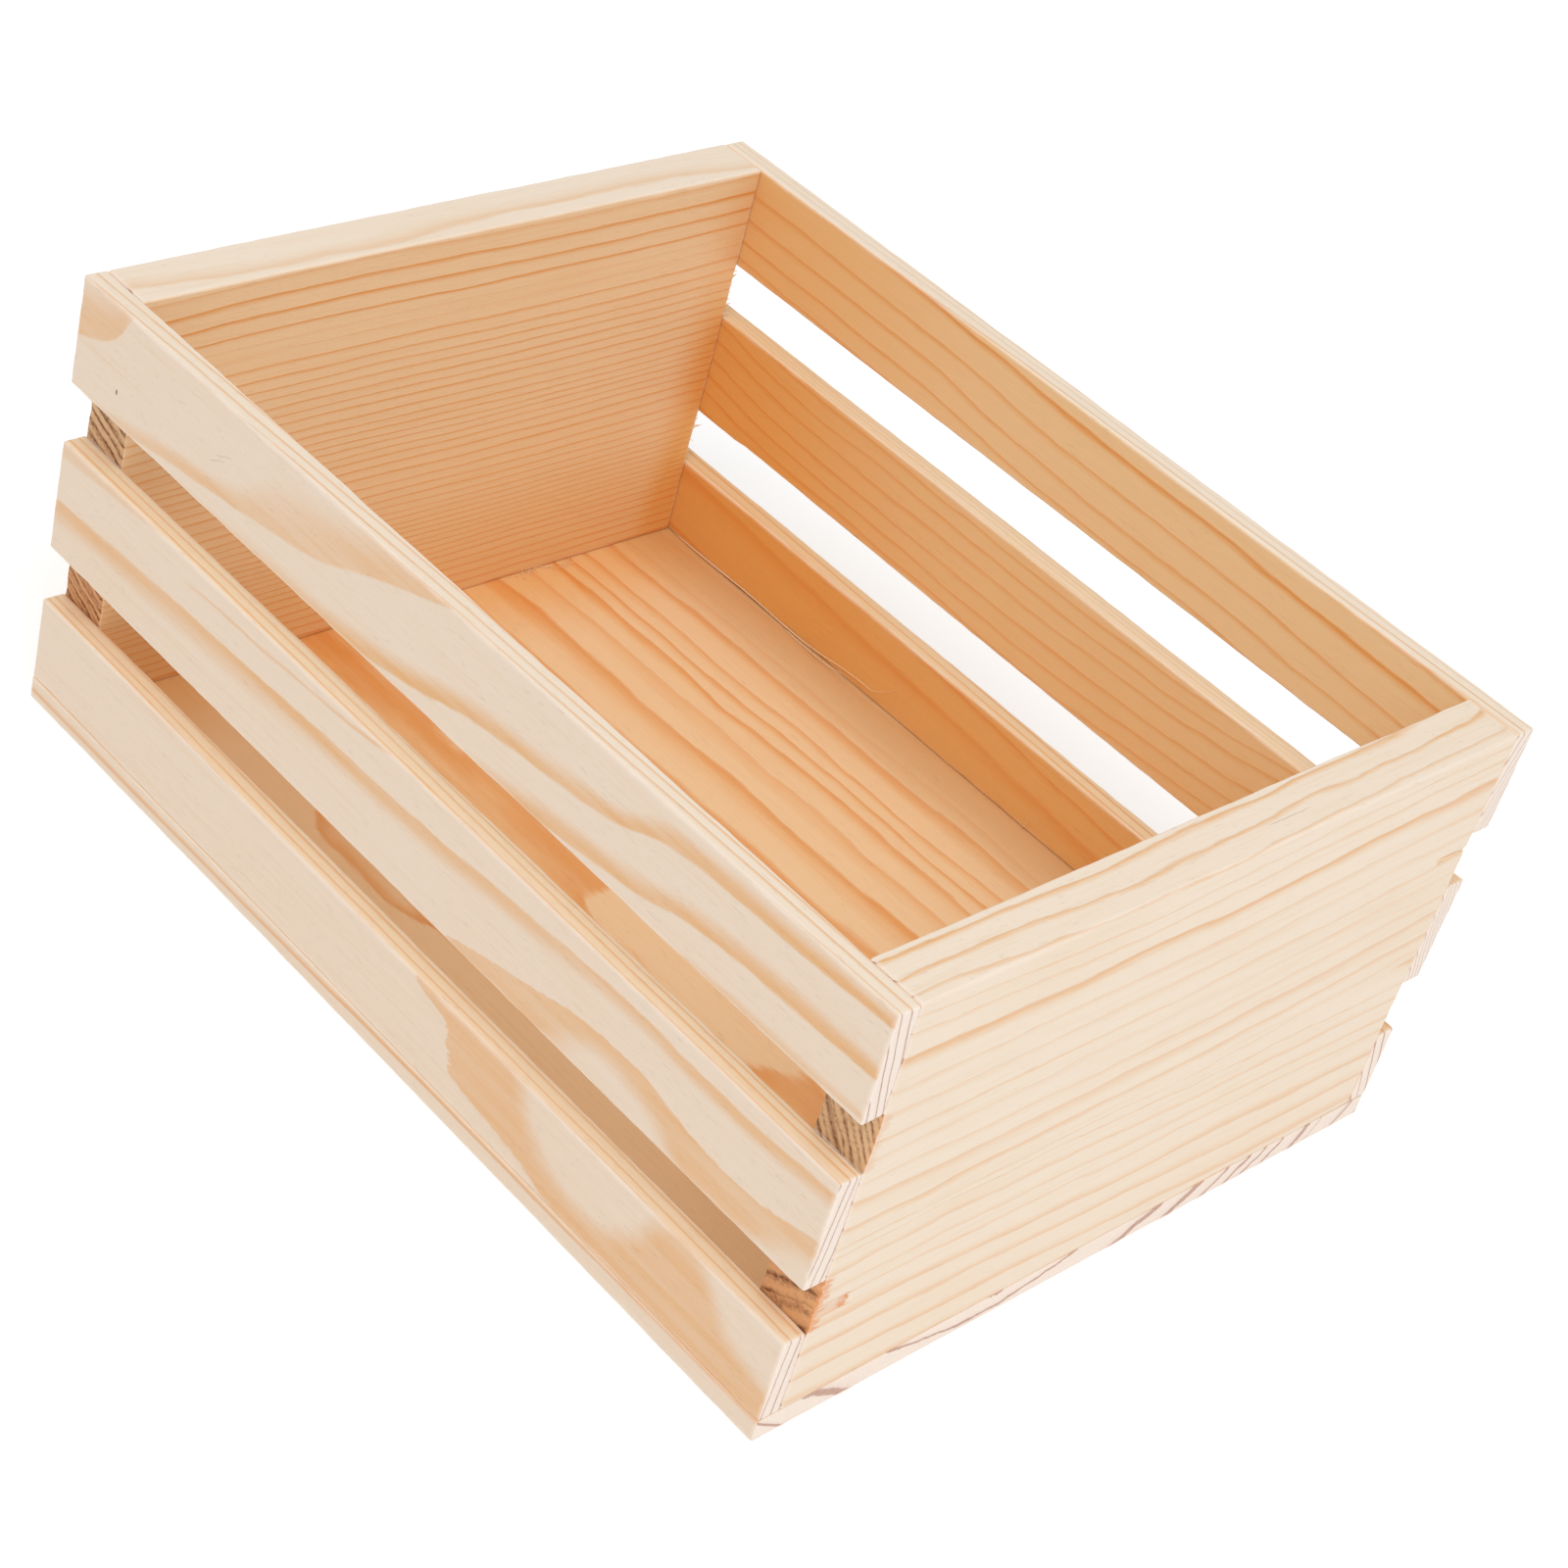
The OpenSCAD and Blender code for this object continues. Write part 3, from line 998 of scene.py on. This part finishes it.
def fibre(made, points, width, thick, steps=5):
    """A flat, tapered fibre swept along a line. It is widest near its root and narrows to its tip."""
    line = smooth_line(points, steps)
    rings = []
    for i, place in enumerate(line):
        ahead = line[min(i + 1, len(line) - 1)] - line[max(i - 1, 0)]
        side = ahead.cross(Vector((0, 0, 1)))
        if side.length < 1e-6:
            side = Vector((1, 0, 0))
        side.normalize()
        up = side.cross(ahead).normalized()
        along = i / (len(line) - 1)
        taper = max(0.08, min(1, along / 0.12 + 0.25) * (1 - along) ** 0.5)
        ring = []
        for turn in range(6):
            angle = math.tau * turn / 6
            offset = side * math.cos(angle) * width / 2 + up * math.sin(angle) * thick / 2
            ring.append(made.verts.new((place + offset * taper) * MM))
        rings.append(ring)
    for one, two in zip(rings, rings[1:]):
        for k in range(6):
            made.faces.new((one[k], one[(k + 1) % 6], two[(k + 1) % 6], two[k])).smooth = True
    made.faces.new(list(reversed(rings[0])))
    made.faces.new(rings[-1])


def add_fibres(name, strands, material):
    """One piece of loose fibres, each given as (points, width, thickness)."""
    made = bmesh.new()
    for points, width, thick in strands:
        fibre(made, points, width, thick)
    return add_piece(name, made, material)


def fibre_material(finish):
    """Torn pine fibres, pale with streaks of tan."""
    s = Shader("torn_fibre")
    strands = s.noise((0.5, 0.5, 0.5), 3, 4.0)
    shade = s.mix(strands.fade(-0.2, 0.3) * 0.5, finish.fibre, finish.late)
    return s.surface(shade, 0.75 + 0.15 * strands, strands, 0.00005)


def peeled_fibres():
    """The strip that has peeled off the back low slat's lower arris, and a short one beside it."""
    y, z = BACK_INSIDE, FLOOR_INSIDE
    strip = [(-110, y - 0.3, z + 0.4), (-96, y - 0.5, z + 0.7), (-80, y - 0.35, z + 0.9)]
    strip += [(-64, y - 0.5, z + 0.7), (-54, y - 0.7, z + 1.2), (-45, y - 0.6, z + 2.3)]
    strip += [(-37, y - 1.0, z + 3.2), (-33, y - 1.4, z + 3.7)]
    strip += [(-29, y - 1.1, z + 6.2), (-25, y - 0.7, z + 10.2)]
    second = [(-66, y - 0.8, z + 0.2), (-56, y - 1.4, z + 0.3)]
    second += [(-48, y - 1.8, z + 1.1), (-41, y - 1.2, z + 2.0)]
    hair = [(20, y - 0.3, z + 0.3), (21.5, y - 0.7, z + 1.8)]
    hair += [(21, y - 0.9, z + 3.2), (23, y - 0.6, z + 4.6)]
    return [(strip, 0.5, 0.22), (second, 0.4, 0.2), (hair, 0.24, 0.16)]


def edge_fibres(thick):
    """Short ragged fibres on the left end board's back edge, in both gaps."""
    draw = random.Random(11)
    count = 15
    strands = []
    for low, high in GAPS[HIGH]:
        for i in range(count):
            z = low + 0.6 + (high - low - 1.2) * (i + 0.5 * draw.random()) / count
            x = LEFT_INSIDE - 0.2 - abs(draw.gauss(0, 1.0))
            reach = 0.5 + 1.3 * draw.random() ** 2
            tip = Vector((draw.gauss(0.3, 0.5), reach, draw.gauss(0, 0.7)))
            root = Vector((x, BACK_INSIDE - 0.6, z))
            bow = Vector((0, 0, draw.gauss(0, 0.2)))
            points = [root, root + tip * 0.6 + bow, root + tip + Vector((0, 0.6, 0))]
            strands.append((points, 0.5 + 0.4 * draw.random(), thick))
    return strands


def splinter_fibres():
    """A lifted splinter and a few short fibres on the right end board's outer face."""
    x, back, front = CRATE_HIGH.x - 0.15, BACK_INSIDE, FRONT_INSIDE
    lifted = [(x - 0.1, back - 11, 79.9), (x - 0.05, back - 7, 80.0)]
    lifted += [(x, back - 3, 79.7), (x + 0.1, back - 0.3, 79.2)]
    beside = [(x - 0.1, back - 10, 80.7), (x, back - 6, 80.7), (x, back - 2.5, 80.5)]
    upper = [(x - 0.2, front + 0.2, 34.0), (x, front + 4, 34.1), (x - 0.1, front + 12, 33.9)]
    lower = [(x - 0.3, front + 0.2, 28.6), (x - 0.1, front + 1.6, 28.4), (x, front + 2.8, 28.1)]
    return [(lifted, 1.0, 0.4), (beside, 0.35, 0.3), (upper, 0.5, 0.25), (lower, 0.4, 0.3)]


def fluff_fibres(thick):
    """Sawdust fluff in the corner between the floor and the left end board."""
    draw = random.Random(23)
    strands = []
    for _ in range(16):
        x = LEFT_INSIDE + 0.5 + 1.6 * draw.random()
        start = Vector((x, 34 + 19 * draw.random(), FLOOR_INSIDE + 0.1))
        way = Vector((draw.gauss(0, 0.7), draw.gauss(0, 1.2), 0.25 + 0.4 * draw.random()))
        bend = Vector((draw.gauss(0, 0.5), draw.gauss(0, 0.5), 0.2))
        strands.append(([start, start + way + bend, start + way * 2], 0.2, thick * 0.6))
    return strands


# --- operators


class CrateOperator(bpy.types.Operator):
    """Common ground of the crate's operators"""

    bl_options = {"REGISTER", "UNDO"}

    def settings(self):
        scene = bpy.context.scene
        return scene.crate_shape, scene.crate_finish

    def add_slats(self, side, damaged, damage):
        """Adds the three slats of one side. One row of them is damaged."""
        shape, finish = self.settings()
        boards = cuts()
        for row in ("top", "middle", "low"):
            cut = boards[f"{side}_{row}_slat"]
            drill(add_board(cut, shape, finish, damage(cut) if row == damaged else plain), cut)


class CRATE_OT_end_boards(CrateOperator):
    """Add the two end boards"""

    bl_idname = "crate.end_boards"
    bl_label = "End Boards"

    def execute(self, context):
        shape, finish = self.settings()
        boards = cuts()
        tear = shape.tear / MM
        left, right = boards["left_end_board"], boards["right_end_board"]
        piece = add_board(left, shape, finish, lambda p: tear_ends(p, left, tear))
        drill(piece, left)
        y = right.low.y
        close = ((), ((y, y + 11, 0.45), (-y - 12, -y, 0.8)), ((27, 42, 0.45), (77.5, 82, 0.4)))
        piece = add_board(right, shape, finish, near_end_damage(right, tear), close)
        drill(piece, right)
        return {"FINISHED"}


class CRATE_OT_bottom_board(CrateOperator):
    """Add the bottom board"""

    bl_idname = "crate.bottom_board"
    bl_label = "Bottom Board"

    def execute(self, context):
        shape, finish = self.settings()
        cut = cuts()["bottom_board"]
        drill(add_board(cut, shape, finish), cut)
        return {"FINISHED"}


class CRATE_OT_front_slats(CrateOperator):
    """Add the three slats of the front side"""

    bl_idname = "crate.front_slats"
    bl_label = "Front Slats"

    def execute(self, context):
        self.add_slats("front", "top", torn_top_damage)
        return {"FINISHED"}


class CRATE_OT_back_slats(CrateOperator):
    """Add the three slats of the back side"""

    bl_idname = "crate.back_slats"
    bl_label = "Back Slats"

    def execute(self, context):
        self.add_slats("back", "middle", sliver_damage)
        return {"FINISHED"}


class CRATE_OT_fibres(CrateOperator):
    """Add the splinters, peeled strips and loose fibres"""

    bl_idname = "crate.fibres"
    bl_label = "Loose Fibres"

    def execute(self, context):
        shape, finish = self.settings()
        thick = shape.fibre / MM
        wood = fibre_material(finish)
        add_fibres("back_low_slat_peel", peeled_fibres(), wood)
        add_fibres("left_end_board_fray", edge_fibres(thick), wood)
        add_fibres("right_end_board_splinter", splinter_fibres(), wood)
        add_fibres("bottom_board_fluff", fluff_fibres(thick), wood)
        return {"FINISHED"}


class CRATE_OT_pins(CrateOperator):
    """Give the pins their steel"""

    bl_idname = "crate.pins"
    bl_label = "Pins"

    def execute(self, context):
        finish = context.scene.crate_finish
        s = Shader("drawn_steel")
        drawn = s.noise((0.15, 0.15, 3.0), 3, 1.0)
        dull = s.noise((1.5, 1.5, 1.5), 2, 6.0)
        tone = s.mix((drawn + dull).fade(-0.3, 0.5) * 0.4, finish.steel, paint(112, 110, 108))
        steel = s.surface(tone, 0.34 + 0.2 * dull, drawn, 0.00003, Metallic=1.0)
        for node in PIN_ROWS:
            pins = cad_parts[node]
            pins.data.materials.clear()
            pins.data.materials.append(steel)
        return {"FINISHED"}


CAMERA_PLACE = (0.36778, -0.45749, 0.47005)
CAMERA_AIM = (0.01427, 0.00158, 0.04484)
CAMERA_ROLL = math.radians(16.884)
KEY_PLACE = (0.95, -1.0, 2.25)
KEY_SIDE = 1.6
FLOOR_GLOW = 0.18


class CRATE_OT_stage(bpy.types.Operator):
    """Add the floor, the light and the camera"""

    bl_idname = "crate.stage"
    bl_label = "Stage"

    def execute(self, context):
        scene = context.scene
        stage = scene.crate_stage
        self.add_floor(stage)
        self.add_light(scene, stage)
        self.add_camera(scene, stage)
        scene.view_settings.view_transform = "Standard"
        return {"FINISHED"}

    def add_floor(self, stage):
        half = stage.floor_size / 2
        made = bmesh.new()
        corners = [(-half, -half), (half, -half), (half, half), (-half, half)]
        made.faces.new([made.verts.new((x, y, cad_low.z)) for x, y in corners])
        floor = new_object("floor", made)
        s = Shader("floor_paper")
        grain = s.noise((3, 3, 3), 2, 1.0)
        tone = s.mix(grain.fade(-0.3, 0.4) * 0.03, stage.floor, paint(236, 236, 236))
        floor.data.materials.append(
            s.surface(tone, 0.9, **{"Emission Color": (1, 1, 1, 1), "Emission Strength": FLOOR_GLOW})
        )

    def add_light(self, scene, stage):
        world = bpy.data.worlds.new("even_sky")
        world.use_nodes = True
        sky = world.node_tree.nodes["Background"]
        sky.inputs["Color"].default_value = (1, 1, 1, 1)
        sky.inputs["Strength"].default_value = stage.sky
        scene.world = world
        lamp = bpy.data.lights.new("key_light", "AREA")
        lamp.energy = stage.key
        lamp.size = KEY_SIDE
        key = bpy.data.objects.new("key_light", lamp)
        key.location = KEY_PLACE
        key.rotation_euler = (-Vector(KEY_PLACE)).to_track_quat("-Z", "Y").to_euler()
        scene.collection.objects.link(key)

    def add_camera(self, scene, stage):
        lens = bpy.data.cameras.new("camera")
        lens.lens = stage.lens
        lens.clip_start = 0.01
        camera = bpy.data.objects.new("camera", lens)
        camera.location = CAMERA_PLACE
        camera.rotation_mode = "QUATERNION"
        look = (Vector(CAMERA_AIM) - Vector(CAMERA_PLACE)).to_track_quat("-Z", "Y")
        camera.rotation_quaternion = look @ Quaternion((0, 0, 1), CAMERA_ROLL)
        scene.collection.objects.link(camera)
        scene.camera = camera


class CRATE_PT_panel(bpy.types.Panel):
    """The crate's settings and steps"""

    bl_idname = "CRATE_PT_panel"
    bl_label = "Apple Crate"
    bl_space_type = "VIEW_3D"
    bl_region_type = "UI"
    bl_category = "Crate"

    def draw(self, context):
        layout = self.layout
        for group in (context.scene.crate_shape, context.scene.crate_finish, context.scene.crate_stage):
            box = layout.box()
            for name in group.__annotations__:
                box.prop(group, name)
        for operator in OPERATORS:
            layout.operator(operator.bl_idname)


OPERATORS = (
    CRATE_OT_end_boards,
    CRATE_OT_bottom_board,
    CRATE_OT_front_slats,
    CRATE_OT_back_slats,
    CRATE_OT_fibres,
    CRATE_OT_pins,
    CRATE_OT_stage,
)
CLASSES = (CrateShapeSettings, CrateFinishSettings, CrateStageSettings, *OPERATORS, CRATE_PT_panel)


def register():
    for cls in CLASSES:
        bpy.utils.register_class(cls)
    bpy.types.Scene.crate_shape = PointerProperty(type=CrateShapeSettings)
    bpy.types.Scene.crate_finish = PointerProperty(type=CrateFinishSettings)
    bpy.types.Scene.crate_stage = PointerProperty(type=CrateStageSettings)


def unregister():
    del bpy.types.Scene.crate_shape
    del bpy.types.Scene.crate_finish
    del bpy.types.Scene.crate_stage
    for cls in reversed(CLASSES):
        bpy.utils.unregister_class(cls)


def write_sizes():
    """Updates the view layer."""
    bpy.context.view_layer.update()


def main():
    register()
    bpy.ops.crate.end_boards()
    bpy.ops.crate.bottom_board()
    bpy.ops.crate.front_slats()
    bpy.ops.crate.back_slats()
    bpy.ops.crate.fibres()
    bpy.ops.crate.pins()
    bpy.ops.crate.stage()
    write_sizes()


if __name__ == "__main__":
    main()
